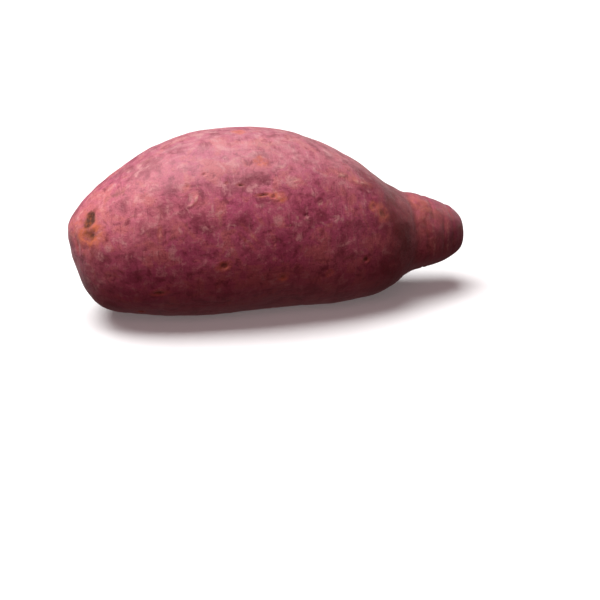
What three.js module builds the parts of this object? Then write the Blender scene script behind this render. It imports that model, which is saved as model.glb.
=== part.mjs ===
// A whole purple sweet potato lying on its flatter side, in millimetres, +Z up.
//
// The root is one solid that grew in one piece. Its long axis runs along X: the blunt root end, where
// the thin tail root broke off, is at -X, and the narrow neck with the cut crown end is at +X. The
// origin is on the resting plane, under the middle of the root's length and width.
//
// The skin is a loft through cross sections. Each section is a rounded oval that spans from a keel
// line, underneath, to a crown line, on top, and that is pushed sideways a little as the root bends.

import * as THREE from "three";
import { LoftGeometry } from "three/addons/geometries/LoftGeometry.js";

// Driving dimensions.
const LENGTH = 158; // root end to crown end
const HEIGHT = 71; // resting plane to the top of the belly
const BREADTH = 73; // across the belly
const REST_FLAT = 0.55; // how far the belly is pressed flat where it lies

const SIDES = 48; // points round a section
const RINGS_PER_STATION = 3; // sections from one station to the next
const OVALNESS = 2.12; // 2 is an ellipse, and more is squarer

// Stations along the root. along is a share of half the length, from -1 to 1. keel and crown are
// shares of the height, half_breadth is a share of half the breadth, and sway is in millimetres.
const STATIONS = [
  // The blunt root end, whose face leans in under the tip.
  { along: -1.0, keel: 0.485, crown: 0.55, half_breadth: 0.065, sway: -5.5 },
  { along: -0.992, keel: 0.42, crown: 0.572, half_breadth: 0.165, sway: -5.3 },
  { along: -0.972, keel: 0.33, crown: 0.602, half_breadth: 0.28, sway: -4.9 },
  { along: -0.932, keel: 0.2, crown: 0.65, half_breadth: 0.43, sway: -4.2 },
  { along: -0.862, keel: 0.105, crown: 0.72, half_breadth: 0.6, sway: -3.0 },
  // The belly, widest a little before the middle.
  { along: -0.76, keel: 0.06, crown: 0.8, half_breadth: 0.745, sway: -1.9 },
  { along: -0.62, keel: 0.028, crown: 0.89, half_breadth: 0.87, sway: -0.6 },
  { along: -0.45, keel: 0.006, crown: 0.96, half_breadth: 0.955, sway: 0.6 },
  { along: -0.27, keel: 0.0, crown: 0.995, half_breadth: 0.995, sway: 1.2 },
  { along: -0.09, keel: 0.0, crown: 1.0, half_breadth: 1.0, sway: 1.4 },
  { along: 0.09, keel: 0.0, crown: 0.965, half_breadth: 0.965, sway: 1.2 },
  { along: 0.25, keel: 0.004, crown: 0.9, half_breadth: 0.9, sway: 0.6 },
  { along: 0.4, keel: 0.018, crown: 0.815, half_breadth: 0.79, sway: 0.0 },
  { along: 0.51, keel: 0.04, crown: 0.735, half_breadth: 0.7, sway: -0.4 },
  { along: 0.595, keel: 0.075, crown: 0.656, half_breadth: 0.6, sway: -0.4 },
  // The shoulder falls steeply into the neck, which stays nearly level up to the crown end.
  { along: 0.645, keel: 0.105, crown: 0.615, half_breadth: 0.52, sway: -0.2 },
  { along: 0.685, keel: 0.125, crown: 0.588, half_breadth: 0.458, sway: 0.1 },
  { along: 0.725, keel: 0.137, crown: 0.577, half_breadth: 0.427, sway: 0.5 },
  { along: 0.775, keel: 0.142, crown: 0.559, half_breadth: 0.42, sway: 1.1 },
  { along: 0.83, keel: 0.15, crown: 0.535, half_breadth: 0.402, sway: 1.8 },
  { along: 0.89, keel: 0.163, crown: 0.503, half_breadth: 0.355, sway: 2.6 },
  { along: 0.945, keel: 0.185, crown: 0.472, half_breadth: 0.295, sway: 3.2 },
  { along: 0.985, keel: 0.215, crown: 0.43, half_breadth: 0.225, sway: 3.8 },
  { along: 1.0, keel: 0.25, crown: 0.395, half_breadth: 0.155, sway: 4.0 },
];

// Shallow lobes that run along the root between its rows of root scars. Each swells and sinks the
// section by a share of its radius, count times round, and winds slowly from end to end.
const LOBES = [
  { count: 3, share: 0.01, phase: 0.6, winding: 0.5 },
  { count: 5, share: 0.007, phase: 2.1, winding: -0.8 },
];

// A smooth line through the stations: x is the place along the root, y and z are two of its values.
function lineThrough(first, second) {
  const points = STATIONS.map((s) => new THREE.Vector3(s.along, s[first], s[second]));
  return new THREE.CatmullRomCurve3(points, false, "catmullrom", 0.5);
}

// The signed power that turns a circle's coordinate into a squarer oval's.
function ovalCoordinate(value) {
  return Math.sign(value) * Math.abs(value) ** (2 / OVALNESS);
}

function lobeSwell(angle, along) {
  let swell = 1;
  for (const lobe of LOBES) {
    swell += lobe.share * Math.cos(lobe.count * angle + lobe.phase + lobe.winding * along);
  }
  return swell;
}

// One section, as points in the order that makes the loft face outwards.
function sectionAt(outline, breadth) {
  const along = outline.x;
  const keel = outline.y * (HEIGHT + REST_FLAT) - REST_FLAT;
  const crown = outline.z * HEIGHT;
  const halfHeight = (crown - keel) / 2;
  const halfBreadth = (breadth.y * BREADTH) / 2;
  const points = [];
  for (let side = 0; side < SIDES; side++) {
    const angle = (side / SIDES) * 2 * Math.PI;
    const swell = lobeSwell(angle, along);
    const across = ovalCoordinate(Math.cos(angle)) * halfBreadth * swell;
    const up = ovalCoordinate(Math.sin(angle)) * halfHeight * swell;
    // Nothing hangs below the resting plane, so the belly has a flat where it lies.
    const height = Math.max(0, (crown + keel) / 2 + up);
    points.push(new THREE.Vector3((along * LENGTH) / 2, breadth.z + across, height));
  }
  return points;
}

function skinOfRoot() {
  const outline = lineThrough("keel", "crown");
  const breadth = lineThrough("half_breadth", "sway");
  const rings = (STATIONS.length - 1) * RINGS_PER_STATION;
  const sections = [];
  for (let ring = 0; ring <= rings; ring++) {
    const share = ring / rings;
    sections.push(sectionAt(outline.getPoint(share), breadth.getPoint(share)));
  }
  const loft = new LoftGeometry(sections, { capStart: true, capEnd: true });
  // The bend leaves the outline off centre, so the origin goes back to the middle of it.
  loft.computeBoundingBox();
  const middle = loft.boundingBox.getCenter(new THREE.Vector3());
  return loft.translate(-middle.x, -middle.y, 0);
}

const skin = new THREE.MeshStandardMaterial({ color: 0x9c5563, roughness: 0.62, metalness: 0 });

const root = new THREE.Mesh(skinOfRoot(), skin);
root.name = "sweet_potato";

const sweetPotato = new THREE.Group();
sweetPotato.add(root);

export default sweetPotato;
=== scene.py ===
import math
import random

import bmesh
import bpy
import numpy as np
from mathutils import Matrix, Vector, noise
from mathutils.bvhtree import BVHTree


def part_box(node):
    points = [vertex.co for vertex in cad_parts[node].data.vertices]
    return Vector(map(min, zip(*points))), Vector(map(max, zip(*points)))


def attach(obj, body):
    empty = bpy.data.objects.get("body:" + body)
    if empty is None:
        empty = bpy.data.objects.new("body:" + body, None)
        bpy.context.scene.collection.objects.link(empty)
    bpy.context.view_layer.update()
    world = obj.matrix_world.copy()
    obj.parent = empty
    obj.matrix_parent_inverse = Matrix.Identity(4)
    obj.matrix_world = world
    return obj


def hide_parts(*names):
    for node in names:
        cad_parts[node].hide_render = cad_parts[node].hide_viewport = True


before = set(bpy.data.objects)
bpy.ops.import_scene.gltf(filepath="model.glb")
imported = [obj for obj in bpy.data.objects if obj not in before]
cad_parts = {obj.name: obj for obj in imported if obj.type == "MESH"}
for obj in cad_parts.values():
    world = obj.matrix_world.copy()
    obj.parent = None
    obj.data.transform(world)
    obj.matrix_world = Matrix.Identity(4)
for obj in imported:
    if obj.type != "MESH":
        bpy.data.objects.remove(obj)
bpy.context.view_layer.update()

MM = 0.001

# ---------------------------------------------------------------------------------------------------
# The root
# One sweet potato, grown in one piece: firm purple flesh in a thin dry skin. Its swellings and hollows
# grew as it pushed through the soil, and the flat under its belly is where it lies.

MESH_STEP = 0.67 * MM
ROUNDING_LEVELS = 2
SMOOTHING_PASSES = 6

cad_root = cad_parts["sweet_potato"]
low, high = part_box("sweet_potato")
half_length = (high.x - low.x) / 2

grown = bmesh.new()
grown.from_mesh(cad_root.data)
bmesh.ops.remove_doubles(grown, verts=grown.verts, dist=0.01 * MM)
bmesh.ops.join_triangles(
    grown,
    faces=grown.faces,
    angle_face_threshold=math.radians(40),
    angle_shape_threshold=math.radians(60),
)
grown_mesh = bpy.data.meshes.new("grown_root")
grown.to_mesh(grown_mesh)
grown.free()

root = bpy.data.objects.new("sweet_potato_root", grown_mesh)
bpy.context.scene.collection.objects.link(root)
rounding = root.modifiers.new("rounding", "SUBSURF")
rounding.levels = ROUNDING_LEVELS
rounding.render_levels = ROUNDING_LEVELS
even_mesh = root.modifiers.new("even_mesh", "REMESH")
even_mesh.mode = "VOXEL"
even_mesh.voxel_size = MESH_STEP
evaluated_root = root.evaluated_get(bpy.context.evaluated_depsgraph_get())
skin_mesh = bpy.data.meshes.new_from_object(evaluated_root)
root.modifiers.clear()
root.data = skin_mesh
bpy.data.meshes.remove(grown_mesh)

skin = bmesh.new()
skin.from_mesh(skin_mesh)
for _ in range(SMOOTHING_PASSES):
    bmesh.ops.smooth_vert(
        skin, verts=skin.verts, factor=0.5, use_axis_x=True, use_axis_y=True, use_axis_z=True
    )
skin.normal_update()
smooth_shape = BVHTree.FromBMesh(skin)

places = np.array([vert.co for vert in skin.verts])
outwards = np.array([vert.normal for vert in skin.verts])


def ease(value, start, end):
    """0 up to start, 1 from end on, and a smooth rise between them."""
    share = np.clip((value - start) / (end - start), 0.0, 1.0)
    return share * share * (3 - 2 * share)


def lumps(stretch, offset):
    """Smooth noise over the skin, from -1 to 1. stretch is how many lumps there are to a metre."""
    stretch = Vector(stretch)
    offset = Vector(offset)
    return np.array([noise.noise(vert.co * stretch + offset) for vert in skin.verts])


# Broad swellings, hollows and small bumps, in millimetres. Then come furrows along the root, deeper
# towards its ends, and faint rings round it.
towards_ends = ease(np.abs(places[:, 0]), 0.62 * half_length, 0.9 * half_length)
swelling = MM * (
    0.75 * lumps((32, 32, 32), (4.1, 0.3, 2.2))
    + 0.38 * lumps((85, 85, 85), (1.7, 5.1, 0.4))
    + 0.13 * lumps((240, 240, 240), (7.3, 2.9, 3.6))
    + (0.06 + 0.12 * towards_ends) * lumps((36, 260, 260), (0.9, 6.2, 1.3))
    + 0.05 * lumps((520, 90, 90), (3.3, 1.1, 8.4))
)

# ---------------------------------------------------------------------------------------------------
# The root scars
# Where side roots grew out and broke off, and where the thin tail root did: pits, slits and corky
# patches in the skin, and places where the skin was rubbed as the root was dug up and washed.

# along is a share of half the length, and clock is degrees round from the top towards the near side.
# long and wide are half sizes in millimetres, along and round the root before a turn in degrees.
# sink is the depth of the middle and rim the height of the edge, in millimetres. dark, cork and pale
# say how far the skin there is stained brown, turned corky, and rubbed pale.
SCARS = [
    # The tail scar on the blunt end: a broken stump, a corky one under it, and a corky mound round both.
    dict(along=-0.93, clock=47, long=5.2, wide=6.5, sink=-0.3, cork=0.48),
    dict(along=-0.895, clock=32.5, long=2.6, wide=2.2, turn=-20, sink=0.35, dark=0.95, cork=0.4),
    dict(along=-0.905, clock=39, long=3.9, wide=2.8, turn=15, sink=0.6, rim=0.08, dark=0.8, cork=0.5),
    dict(along=-0.908, clock=54, long=4.0, wide=3.0, turn=-10, sink=0.35, rim=0.05, dark=0.62, cork=1.15),
    dict(along=-0.900, clock=56, long=1.9, wide=1.5, sink=0.2, dark=0.85, cork=0.8),
    dict(along=-0.966, clock=80, long=1.2, wide=3.5, turn=10, sink=0.5, dark=0.35),
    # The near side of the belly: small pits, a shallow dent with a slit below it, and corky spots.
    dict(along=-0.367, clock=41, long=0.9, wide=0.6, sink=0.4, rim=0.05, dark=0.6, cork=0.2),
    dict(along=-0.273, clock=49, long=0.7, wide=0.55, sink=0.3, rim=0.05, dark=0.45, cork=0.35),
    dict(along=-0.205, clock=51.5, long=1.2, wide=0.6, turn=-12, sink=0.45, rim=0.05, dark=0.65, cork=0.2),
    dict(along=-0.452, clock=46, long=0.9, wide=0.7, sink=0.35, dark=0.45, cork=0.5),
    dict(along=-0.120, clock=52, long=5.0, wide=3.6, sink=0.7, dark=0.14),
    dict(along=-0.107, clock=58.4, long=2.6, wide=0.55, turn=4, sink=0.4, rim=0.08, dark=0.65, cork=0.6),
    dict(along=-0.055, clock=59.5, long=1.0, wide=0.8, sink=0.25, rim=0.06, dark=0.5, cork=0.8),
    dict(along=-0.028, clock=59.8, long=1.8, wide=1.5, sink=-0.15, cork=0.85, pale=0.5),
    dict(along=-0.094, clock=37, long=1.8, wide=1.6, turn=20, sink=0.15, cork=0.6),
    dict(along=-0.151, clock=4, long=1.8, wide=2.2, sink=0.25, dark=0.25, cork=0.5),
    dict(along=0.097, clock=70, long=1.3, wide=0.9, sink=0.35, rim=0.06, dark=0.35),
    # A curl of lifted skin, pale flecks and streaks, and the marks of grit on the near side.
    dict(along=-0.418, clock=55.5, long=0.8, wide=2.3, turn=-25, sink=-0.3, pale=0.7),
    dict(along=-0.447, clock=58.5, long=2.2, wide=0.8, turn=25, sink=-0.25, pale=0.6),
    dict(along=-0.45, clock=54, long=1.6, wide=1.8, sink=0.35, dark=0.25),
    dict(along=0.171, clock=61, long=1.9, wide=1.3, turn=15, sink=0.15, rim=0.06, pale=0.75),
    dict(along=0.003, clock=41, long=1.4, wide=1.2, sink=0.1, pale=0.7),
    dict(along=0.052, clock=71.7, long=1.0, wide=1.3, turn=20, sink=0.1, pale=0.6),
    dict(along=0.011, clock=76.6, long=0.8, wide=0.8, sink=0.1, pale=0.6),
    dict(along=0.061, clock=48.5, long=3.4, wide=0.7, turn=10, sink=0.12, pale=0.75),
    dict(along=0.065, clock=51, long=3.0, wide=0.5, turn=8, sink=0.12, pale=0.6),
    dict(along=-0.17, clock=82, long=4.6, wide=0.5, turn=-50, sink=0.2, pale=0.6, cork=0.3),
    dict(along=-0.19, clock=86, long=3.6, wide=0.45, turn=-48, sink=0.2, pale=0.5, cork=0.3),
    dict(along=-0.594, clock=72.6, long=0.7, wide=2.2, sink=-0.15, pale=0.6, cork=0.4),
    dict(along=-0.572, clock=74, long=0.6, wide=2.0, sink=0.35, dark=0.45),
    # The shoulder: a rubbed band, brown wrinkles above it, and corky brown scars towards the neck.
    dict(along=0.30, clock=37, long=3.6, wide=1.3, turn=12, sink=-0.15, pale=0.55),
    dict(along=0.40, clock=36, long=4.2, wide=1.5, turn=6, sink=-0.2, pale=0.7, cork=0.3),
    dict(along=0.33, clock=24, long=2.6, wide=0.5, turn=8, sink=0.3, dark=0.4),
    dict(along=0.35, clock=19, long=2.8, wide=0.5, turn=4, sink=0.3, dark=0.35),
    dict(along=0.463, clock=53, long=1.8, wide=1.4, sink=0.25, dark=0.3, cork=0.7),
    dict(along=0.505, clock=57, long=2.0, wide=2.4, turn=10, sink=0.3, dark=0.5, cork=0.5),
    dict(along=0.475, clock=42, long=2.0, wide=1.2, sink=0.25, dark=0.3),
    dict(along=0.745, clock=26, long=3.2, wide=4.2, sink=-0.1, cork=0.3),
    dict(along=0.745, clock=55, long=2.6, wide=4.5, sink=-0.05, cork=0.2),
]

# The far side, the top and the underside have root scars of the same kinds, in rough rows, each at
# its clock angle.
SCAR_ROWS = [-28, -72, -118, -160, 148, 108]
SCARS_IN_ROW = 5
SCAR_SEED = 11
SCAR_REACH_INWARDS = 6 * MM
SCAR_RAGGEDNESS = 0.22

# Where each stain starts to fade and where it ends, as shares of its scar's half size.
STAIN_SPREAD = {"dark": (0.4, 1.25), "cork": (0.9, 2.1), "pale": (0.0, 1.3)}

scattering = random.Random(SCAR_SEED)
for row_clock in SCAR_ROWS:
    for step in range(SCARS_IN_ROW):
        strength = scattering.uniform(0.35, 1.0)
        SCARS.append(
            dict(
                along=-0.72 + 1.3 * (step + scattering.uniform(0.1, 0.9)) / SCARS_IN_ROW,
                clock=row_clock + scattering.uniform(-11, 11),
                long=scattering.uniform(0.7, 2.6),
                wide=scattering.uniform(0.6, 1.5),
                turn=scattering.uniform(-25, 25),
                sink=0.2 + 0.45 * strength,
                rim=0.12 * strength,
                dark=0.75 * strength,
                cork=scattering.uniform(0.2, 0.9),
            )
        )


def middle_of_section(x):
    """The middle of the root's cross section at x."""
    above = smooth_shape.ray_cast(Vector((x, 0, 1)), Vector((0, 0, -1)))[0]
    below = smooth_shape.ray_cast(Vector((x, 0, -1)), Vector((0, 0, 1)))[0]
    height = (above.z + below.z) / 2
    near = smooth_shape.ray_cast(Vector((x, -1, height)), Vector((0, 1, 0)))[0]
    far = smooth_shape.ray_cast(Vector((x, 1, height)), Vector((0, -1, 0)))[0]
    return Vector((x, (near.y + far.y) / 2, height))


def place_on_skin(along, clock):
    """The point of the skin at a share along the root and a clock angle, and its outward normal."""
    angle = math.radians(clock)
    outward = Vector((0, -math.sin(angle), math.cos(angle)))
    place, normal, _, _ = smooth_shape.ray_cast(middle_of_section(along * half_length), outward)
    return place, normal


ragged = lumps((420, 420, 420), (2.6, 4.4, 9.1))
skin_marks = {name: np.zeros(len(places)) for name in STAIN_SPREAD}
relief = np.zeros(len(places))


def press_scar(place, normal, scar):
    """Sinks one scar into the skin and stains it."""
    along_axis = (Vector((1, 0, 0)) - normal * normal.x).normalized()
    round_axis = normal.cross(along_axis)
    turn = math.radians(scar.get("turn", 0))
    long_axis = along_axis * math.cos(turn) + round_axis * math.sin(turn)
    wide_axis = round_axis * math.cos(turn) - along_axis * math.sin(turn)
    offset = places - np.array(place)
    reach = np.sqrt(
        (offset @ np.array(long_axis) / (scar["long"] * MM)) ** 2
        + (offset @ np.array(wide_axis) / (scar["wide"] * MM)) ** 2
        + (offset @ np.array(normal) / SCAR_REACH_INWARDS) ** 2
    )
    reach = reach * (1 + SCAR_RAGGEDNESS * ragged)
    relief[:] -= scar["sink"] * MM * (1 - ease(reach, 0.1, 1.25))
    relief[:] += scar.get("rim", 0) * MM * np.exp(-(((reach - 1.35) / 0.35) ** 2))
    for name, (start, end) in STAIN_SPREAD.items():
        stain = scar.get(name, 0) * (1 - ease(reach, start, end))
        skin_marks[name] = np.maximum(skin_marks[name], stain)


for scar in SCARS:
    press_scar(*place_on_skin(scar["along"], scar["clock"]), scar)

# ---------------------------------------------------------------------------------------------------
# The neck and the crown
# The root draws in to a short neck, where its stem joined it. The neck has ring wrinkles, and it ends
# in the crown, which was cut through and has dried to a brown, slightly dished face.

# Ring wrinkles: how far along the root, the clock angle of the middle, how far round they reach either
# way in degrees, their half width and depth in millimetres, and how pale their crest is painted as painted
# highlight.
WRINKLES = [
    dict(along=0.70, clock=40, reach=120, width=1.8, sink=0.3, pale=0.0),
    dict(along=0.765, clock=85, reach=42, width=0.9, sink=0.3, pale=0.4),
    dict(along=0.80, clock=10, reach=70, width=0.8, sink=0.25, pale=0.0),
    dict(along=0.86, clock=85, reach=45, width=0.8, sink=0.3, pale=0.4),
    dict(along=0.915, clock=30, reach=130, width=0.8, sink=0.2, pale=0.0),
    dict(along=0.66, clock=200, reach=90, width=0.8, sink=0.4, pale=0.1),
    dict(along=0.77, clock=190, reach=80, width=0.6, sink=0.35, pale=0.3),
    dict(along=0.84, clock=-70, reach=60, width=0.5, sink=0.3, pale=0.3),
]
WRINKLE_MEANDER = 1.6 * MM
CREST_FROM_CREASE = 2.2  # in half widths
CREST_HEIGHT = 0.25  # as a share of the crease's depth
NECK_MIDDLE = middle_of_section(0.8 * half_length)

clock_round_neck = np.degrees(
    np.arctan2(-(places[:, 1] - NECK_MIDDLE.y), places[:, 2] - NECK_MIDDLE.z)
)
meander = lumps((120, 90, 90), (5.5, 0.7, 4.9))
for wrinkle in WRINKLES:
    away = (clock_round_neck - wrinkle["clock"] + 180) % 360 - 180
    strength = 1 - ease(np.abs(away), 0.5 * wrinkle["reach"], wrinkle["reach"])
    from_crease = places[:, 0] - wrinkle["along"] * half_length + WRINKLE_MEANDER * meander
    from_crease = from_crease / (wrinkle["width"] * MM)
    crease = strength * np.exp(-(from_crease**2))
    crest = strength * np.exp(-((from_crease - CREST_FROM_CREASE) ** 2))
    relief += MM * wrinkle["sink"] * (CREST_HEIGHT * crest - crease)
    # Painted shade: each crease is painted darker, besides its real depth.
    skin_marks["dark"] = np.maximum(skin_marks["dark"], 0.35 * crease)
    # Painted highlight: each crest is painted paler, besides its real height.
    skin_marks["pale"] = np.maximum(skin_marks["pale"], wrinkle["pale"] * crest)

# Painted shade: the shoulder is painted darker where it turns into the neck and faces away from the light.
painted_shoulder_shade = ease(places[:, 0], 0.33 * half_length, 0.58 * half_length)
painted_shoulder_shade *= 1 - ease(places[:, 0], 0.64 * half_length, 0.74 * half_length)
neck = ease(places[:, 0], 0.64 * half_length, 0.74 * half_length)

CUT_DISH = 0.6 * MM
CUT_FIBRE_RELIEF = 0.07 * MM
CROWN_REACH = 4 * MM
at_cut = places[:, 0] > half_length - 0.4 * MM
cut_middle = places[at_cut].mean(axis=0)
cut_radius = np.linalg.norm(places[at_cut] - cut_middle, axis=1).max()
from_cut = np.linalg.norm((places - cut_middle) * np.array([0.4, 1, 1]), axis=1) / cut_radius
from_cut = from_cut * (1 + 0.08 * ragged)
on_crown = places[:, 0] > half_length - CROWN_REACH
cut = np.where(on_crown, 1 - ease(from_cut, 0.92, 1.12), 0.0)
relief -= CUT_DISH * np.where(on_crown, 1 - ease(from_cut, 0.2, 0.95), 0.0)
relief += CUT_FIBRE_RELIEF * cut * lumps((600, 600, 600), (8.8, 6.1, 0.2))

# The relief is moved into the skin, a little inwards so that it stays within the root's size. The
# root then settles on the surface that it lies on, which presses its lowest part to half its depth.
SKIN_INSET = 0.35 * MM
PRESSED_DEPTH = 0.5 * MM

moved = places + outwards * (swelling + relief - SKIN_INSET)[:, None]
moved[:, 2] -= moved[:, 2].min()
height_above = moved[:, 2]
moved[:, 2] = np.where(
    height_above < PRESSED_DEPTH, 0.5 * height_above, height_above - 0.5 * PRESSED_DEPTH
)
for vert, place in zip(skin.verts, moved):
    vert.co = place
bmesh.ops.recalc_face_normals(skin, faces=skin.faces)
for face in skin.faces:
    face.smooth = True
skin.to_mesh(skin_mesh)
skin.free()

masks = {"dark_stain_and_crease_shade": skin_marks["dark"], "cork": skin_marks["cork"], "rubbed_pale_and_crest_highlight": skin_marks["pale"]}
masks.update({"crown_cut": cut, "painted_shoulder_shade": painted_shoulder_shade, "neck": neck})
for name, values in masks.items():
    mask = skin_mesh.attributes.new(name, "FLOAT", "POINT")
    mask.data.foreach_set("value", values.astype(np.float32))

# ---------------------------------------------------------------------------------------------------
# The skin's finish
# A dry, matte skin, rose to mauve over purple flesh. It is mottled at every size, has fine pale lines
# round it, and turns brown and corky in its scars.

ROSE = (0.52, 0.124, 0.165, 1)
MAUVE = (0.43, 0.060, 0.138, 1)
SALMON = (0.54, 0.14, 0.13, 1)
MAROON = (0.19, 0.014, 0.034, 1)
PALE_ROSE = (0.66, 0.29, 0.29, 1)
OCHRE = (0.36, 0.14, 0.075, 1)
CORK = (0.58, 0.145, 0.075, 1)
# The two scar browns are also used for painted shade in the neck's wrinkle creases.
SCAR_AND_CREASE_SHADE_BROWN = (0.085, 0.016, 0.005, 1)
SCAR_AND_CREASE_SHADE_RUST = (0.24, 0.055, 0.016, 1)
# A dark brown for painted shade on the shoulder, and for the neck's real weathering.
SHADE_AND_WEATHER_BROWN = (0.15, 0.010, 0.014, 1)
# Rubbed pale, also used for painted highlight on the neck's wrinkle crests.
RUBBED_AND_CREST_HIGHLIGHT = (0.70, 0.35, 0.29, 1)
# A paler pink painted on the upper side as painted highlight.
PAINTED_TOP_HIGHLIGHT = (0.48, 0.24, 0.255, 1)
# A deep maroon painted on the underside as painted shade.
PAINTED_UNDERSIDE_SHADE = (0.16, 0.008, 0.020, 1)
CUT_TAN = (0.58, 0.38, 0.24, 1)
CUT_BROWN = (0.33, 0.17, 0.10, 1)

finish = bpy.data.materials.new("sweet_potato_skin")
finish.use_nodes = True
nodes = finish.node_tree.nodes
links = finish.node_tree.links
shader = nodes["Principled BSDF"]
on_root = nodes.new("ShaderNodeTexCoord").outputs["Object"]


def plug(value, socket):
    """Feeds a socket from a node's output, or sets it to a plain value."""
    if isinstance(value, bpy.types.NodeSocket):
        links.new(value, socket)
    else:
        socket.default_value = value


def grain(per_metre, detail=4.0, roughness=0.55, distortion=0.0, offset=0.0):
    """Noise from 0 to 1 over the root. per_metre may differ along X, Y and Z."""
    stretch = nodes.new("ShaderNodeMapping")
    stretch.inputs["Scale"].default_value = per_metre
    stretch.inputs["Location"].default_value = (offset, 0.7 * offset, 1.3 * offset)
    links.new(on_root, stretch.inputs["Vector"])
    pattern = nodes.new("ShaderNodeTexNoise")
    pattern.inputs["Scale"].default_value = 1.0
    pattern.inputs["Detail"].default_value = detail
    pattern.inputs["Roughness"].default_value = roughness
    pattern.inputs["Distortion"].default_value = distortion
    links.new(stretch.outputs["Vector"], pattern.inputs["Vector"])
    return pattern.outputs["Fac"]


def between(value, start, end, low=0.0, high=1.0):
    """Maps start to end smoothly onto low to high."""
    ramp = nodes.new("ShaderNodeMapRange")
    ramp.interpolation_type = "SMOOTHSTEP"
    plug(value, ramp.inputs["Value"])
    ramp.inputs["From Min"].default_value = start
    ramp.inputs["From Max"].default_value = end
    ramp.inputs["To Min"].default_value = low
    ramp.inputs["To Max"].default_value = high
    return ramp.outputs["Result"]


def maths(operation, first, second):
    step = nodes.new("ShaderNodeMath")
    step.operation = operation
    plug(first, step.inputs[0])
    plug(second, step.inputs[1])
    return step.outputs["Value"]


def tinted(colour, tint, share):
    """One colour laid over another, by a share from 0 to 1."""
    mix = nodes.new("ShaderNodeMix")
    mix.data_type = "RGBA"
    mix.clamp_factor = True
    plug(share, mix.inputs["Factor"])
    plug(colour, mix.inputs[6])
    plug(tint, mix.inputs[7])
    return mix.outputs[2]


def mask_of(name):
    attribute = nodes.new("ShaderNodeAttribute")
    attribute.attribute_name = name
    return attribute.outputs["Fac"]


broad = grain((30, 30, 30), detail=3.0, offset=1.0)
patches = grain((105, 120, 120), detail=5.0, roughness=0.58, distortion=0.4, offset=4.0)
blotches = grain((240, 260, 260), detail=6.0, roughness=0.62, distortion=0.3, offset=9.0)
mottle = grain((640, 560, 560), detail=4.0, roughness=0.6, distortion=0.2, offset=12.0)
speckle = grain((1500, 1500, 1500), detail=3.0, roughness=0.7, offset=14.0)
ring_lines = grain((800, 110, 110), detail=5.0, roughness=0.62, distortion=0.35, offset=20.0)
streaks = grain((50, 420, 420), detail=5.0, roughness=0.6, distortion=0.3, offset=26.0)
ochre_patches = grain((70, 100, 100), detail=5.0, roughness=0.65, distortion=0.5, offset=31.0)
flecks = grain((330, 330, 330), detail=7.0, roughness=0.68, distortion=0.3, offset=37.0)

# The mottling, from the broadest to the finest: a tint, the noise it follows, where in that noise it
# starts and where it is full, and its share of the colour there.
MOTTLING = [
    (MAUVE, broad, 0.36, 0.64, 1.0),
    (SALMON, patches, 0.51, 0.62, 0.65),
    (MAROON, patches, 0.5, 0.38, 0.62),
    (PALE_ROSE, blotches, 0.52, 0.7, 0.75),
    (MAROON, blotches, 0.48, 0.3, 0.85),
    (OCHRE, ochre_patches, 0.57, 0.74, 0.5),
    (MAROON, streaks, 0.46, 0.28, 0.4),
    (PALE_ROSE, ring_lines, 0.55, 0.75, 0.34),
    (MAROON, ring_lines, 0.45, 0.3, 0.45),
    (PALE_ROSE, mottle, 0.54, 0.74, 0.28),
    (MAROON, mottle, 0.46, 0.28, 0.4),
    (MAROON, speckle, 0.45, 0.3, 0.45),
    (PALE_ROSE, speckle, 0.57, 0.75, 0.12),
    (RUBBED_AND_CREST_HIGHLIGHT, flecks, 0.70, 0.8, 0.4),
]
colour = ROSE
for tint, noise_seen, start, full, share in MOTTLING:
    colour = tinted(colour, tint, between(noise_seen, start, full, 0.0, share))

# Painted highlight: the upper side is painted paler, as if lit from above.
above_floor = nodes.new("ShaderNodeSeparateXYZ")
links.new(on_root, above_floor.inputs["Vector"])
painted_highlight_height = between(above_floor.outputs["Z"], 0.049, 0.070)
colour = tinted(colour, PAINTED_TOP_HIGHLIGHT, maths("MULTIPLY", painted_highlight_height, between(blotches, 0.36, 0.64, 0.22, 0.52)))
# Painted shade: the underside is painted deeper in colour, as if in shade.
painted_shade_height = between(above_floor.outputs["Z"], 0.038, 0.008)
colour = tinted(colour, PAINTED_UNDERSIDE_SHADE, maths("MULTIPLY", painted_shade_height, 0.6))

raggedness = between(flecks, 0.34, 0.66, 0.25, 1.5)
# Painted shade in dark brown over the shoulder; the neck after it gets the same brown as real weathering.
painted_shoulder_shade_share = maths("MULTIPLY", mask_of("painted_shoulder_shade"), between(patches, 0.35, 0.65, 1.0, 0.65))
colour = tinted(colour, SHADE_AND_WEATHER_BROWN, painted_shoulder_shade_share)
weathered = maths("MULTIPLY", mask_of("neck"), between(blotches, 0.35, 0.65, 0.2, 0.6))
colour = tinted(colour, SHADE_AND_WEATHER_BROWN, weathered)
corky = maths("MULTIPLY", mask_of("cork"), raggedness)
colour = tinted(colour, CORK, maths("MULTIPLY", corky, 0.85))
# Rubbed pale marks from the scars, and painted highlight on the neck's wrinkle crests.
rubbed_and_crest_highlight = between(maths("MULTIPLY", mask_of("rubbed_pale_and_crest_highlight"), raggedness), 0.12, 0.95)
colour = tinted(colour, RUBBED_AND_CREST_HIGHLIGHT, maths("MULTIPLY", rubbed_and_crest_highlight, 0.72))
rough_edge = between(flecks, 0.3, 0.7, 0.7, 1.3)
# Dark stains in the scars, and painted shade in the neck's wrinkle creases.
stain_and_crease_shade = between(maths("MULTIPLY", mask_of("dark_stain_and_crease_shade"), rough_edge), 0.1, 0.85)
scar_and_crease_shade_colour = tinted(SCAR_AND_CREASE_SHADE_BROWN, SCAR_AND_CREASE_SHADE_RUST, between(mottle, 0.42, 0.66))
colour = tinted(colour, scar_and_crease_shade_colour, stain_and_crease_shade)

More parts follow.
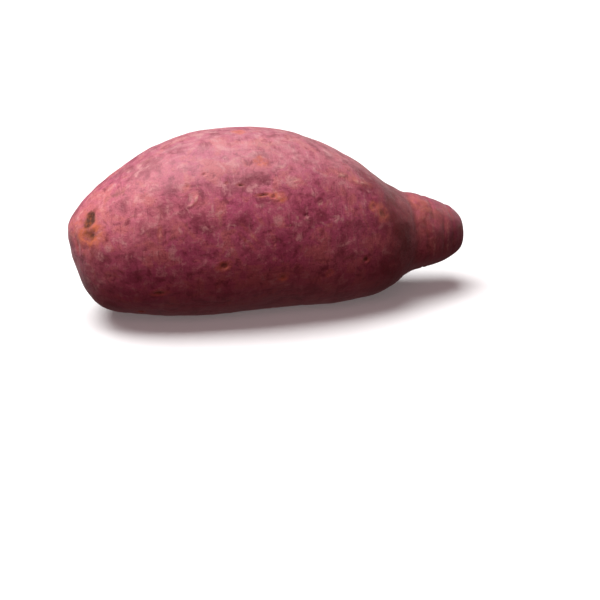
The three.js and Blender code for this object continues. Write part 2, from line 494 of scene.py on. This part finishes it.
fibres = grain((200, 900, 900), detail=6.0, roughness=0.7, offset=43.0)
cut_face = tinted(CUT_BROWN, CUT_TAN, between(fibres, 0.35, 0.65))
is_cut = mask_of("crown_cut")
colour = tinted(colour, cut_face, is_cut)
links.new(colour, shader.inputs["Base Color"])

dryness = between(blotches, 0.3, 0.7, 0.5, 0.68)
dryness = maths("ADD", dryness, between(speckle, 0.3, 0.7, -0.05, 0.05))
scarred = maths("MAXIMUM", maths("MAXIMUM", corky, stain_and_crease_shade), is_cut)
dryness = maths("ADD", dryness, maths("MULTIPLY", scarred, 0.25))
links.new(dryness, shader.inputs["Roughness"])
shader.inputs["Specular IOR Level"].default_value = 0.4
shader.inputs["Sheen Weight"].default_value = 0.3
shader.inputs["Sheen Roughness"].default_value = 0.45
shader.inputs["Sheen Tint"].default_value = (1.0, 0.9, 0.88, 1)

height = maths("MULTIPLY", blotches, 0.9)
height = maths("ADD", height, maths("MULTIPLY", ring_lines, 0.55))
height = maths("ADD", height, maths("MULTIPLY", streaks, 0.45))
height = maths("ADD", height, maths("MULTIPLY", speckle, 0.35))
height = maths("ADD", height, maths("MULTIPLY", maths("MULTIPLY", fibres, is_cut), 0.8))
bump = nodes.new("ShaderNodeBump")
bump.inputs["Strength"].default_value = 0.75
bump.inputs["Distance"].default_value = 0.4 * MM
links.new(height, bump.inputs["Height"])
links.new(bump.outputs["Normal"], shader.inputs["Normal"])

skin_mesh.materials.clear()
skin_mesh.materials.append(finish)
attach(root, "root")
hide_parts("sweet_potato")

# ---------------------------------------------------------------------------------------------------
# The studio
# A pale, plain floor under one large soft light from above and behind, with a weak soft fill. The
# camera looks a little down on the root's near side, from nearer its blunt end.

FLOOR_SIZE = 12.0
GLOW_STARTS = 0.25
GLOW_IS_FULL = 0.8
GLOW_UNDER_ROOT = 0.1
CAMERA_AZIMUTH = math.radians(-12.3)
CAMERA_ELEVATION = math.radians(22.2)
CAMERA_DISTANCE = 0.587
ROOT_MIDDLE = Vector((0, 0, 0.033))
ROOT_LEFT_OF_VIEW = 0.0119
ROOT_ABOVE_VIEW = 0.0309

floor_shape = bmesh.new()
bmesh.ops.create_grid(floor_shape, x_segments=1, y_segments=1, size=FLOOR_SIZE / 2)
floor_mesh = bpy.data.meshes.new("floor")
floor_shape.to_mesh(floor_mesh)
floor_shape.free()
floor = bpy.data.objects.new("floor", floor_mesh)
bpy.context.scene.collection.objects.link(floor)
floor_finish = bpy.data.materials.new("pale_floor")
floor_finish.use_nodes = True
floor_shader = floor_finish.node_tree.nodes["Principled BSDF"]
floor_shader.inputs["Base Color"].default_value = (0.9, 0.9, 0.9, 1)
floor_shader.inputs["Roughness"].default_value = 0.9
floor_shader.inputs["Specular IOR Level"].default_value = 0.0

# The floor glows a little under the root and fully further out, so that it runs into the pale room.
floor_nodes = floor_finish.node_tree.nodes
floor_links = floor_finish.node_tree.links
on_floor = floor_nodes.new("ShaderNodeTexCoord")
from_root = floor_nodes.new("ShaderNodeVectorMath")
from_root.operation = "LENGTH"
glow = floor_nodes.new("ShaderNodeMapRange")
glow.interpolation_type = "SMOOTHSTEP"
glow.inputs["From Min"].default_value = GLOW_STARTS
glow.inputs["From Max"].default_value = GLOW_IS_FULL
glow.inputs["To Min"].default_value = GLOW_UNDER_ROOT
glow.inputs["To Max"].default_value = 1.0
floor_links.new(on_floor.outputs["Object"], from_root.inputs[0])
floor_links.new(from_root.outputs["Value"], glow.inputs["Value"])
floor_links.new(glow.outputs["Result"], floor_shader.inputs["Emission Color"])
floor_shader.inputs["Emission Strength"].default_value = 1.0
floor_mesh.materials.append(floor_finish)
floor.visible_diffuse = False
floor.visible_glossy = False


def soft_light(name, place, aim, side, power, tint):
    """A square lamp of that side in metres and power in watts, turned towards aim."""
    lamp = bpy.data.lights.new(name, "AREA")
    lamp.shape = "SQUARE"
    lamp.size = side
    lamp.energy = power
    lamp.color = tint
    holder = bpy.data.objects.new(name, lamp)
    holder.location = place
    holder.rotation_mode = "QUATERNION"
    holder.rotation_quaternion = (Vector(aim) - Vector(place)).to_track_quat("-Z", "Y")
    bpy.context.scene.collection.objects.link(holder)


soft_light("overhead", (-0.35, 0.08, 1.2), aim=(0, 0, 0), side=1.1, power=28, tint=(1.0, 1.0, 1.0))
soft_light("fill", (-0.5, -1.3, 0.8), aim=(0, 0, 0.03), side=1.0, power=4.5, tint=(1.0, 0.58, 0.62))

# The room is pale to look at, and gives only a little light of its own.
world = bpy.data.worlds.new("studio")
world.use_nodes = True
room = world.node_tree
dim_light = room.nodes["Background"]
dim_light.inputs["Color"].default_value = (1.0, 0.55, 0.58, 1)
dim_light.inputs["Strength"].default_value = 0.1
pale_room = room.nodes.new("ShaderNodeBackground")
pale_room.inputs["Color"].default_value = (1, 1, 1, 1)
pale_room.inputs["Strength"].default_value = 1.0
seen = room.nodes.new("ShaderNodeLightPath")
either = room.nodes.new("ShaderNodeMixShader")
room.links.new(seen.outputs["Is Camera Ray"], either.inputs["Fac"])
room.links.new(dim_light.outputs["Background"], either.inputs[1])
room.links.new(pale_room.outputs["Background"], either.inputs[2])
room.links.new(either.outputs["Shader"], room.nodes["World Output"].inputs["Surface"])
bpy.context.scene.world = world
bpy.context.scene.view_settings.view_transform = "Standard"

back = Vector((
    math.sin(CAMERA_AZIMUTH) * math.cos(CAMERA_ELEVATION),
    -math.cos(CAMERA_AZIMUTH) * math.cos(CAMERA_ELEVATION),
    math.sin(CAMERA_ELEVATION),
))
right = Vector((math.cos(CAMERA_AZIMUTH), math.sin(CAMERA_AZIMUTH), 0))
up = back.cross(right)
lens = bpy.data.cameras.new("camera")
lens.lens = 90
lens.sensor_width = 36
lens.clip_start = 0.01
lens.clip_end = 50
camera = bpy.data.objects.new("camera", lens)
camera.rotation_mode = "QUATERNION"
camera.rotation_quaternion = (-back).to_track_quat("-Z", "Y")
camera.location = (
    ROOT_MIDDLE + back * CAMERA_DISTANCE + right * ROOT_LEFT_OF_VIEW - up * ROOT_ABOVE_VIEW
)
bpy.context.scene.collection.objects.link(camera)
bpy.context.scene.camera = camera
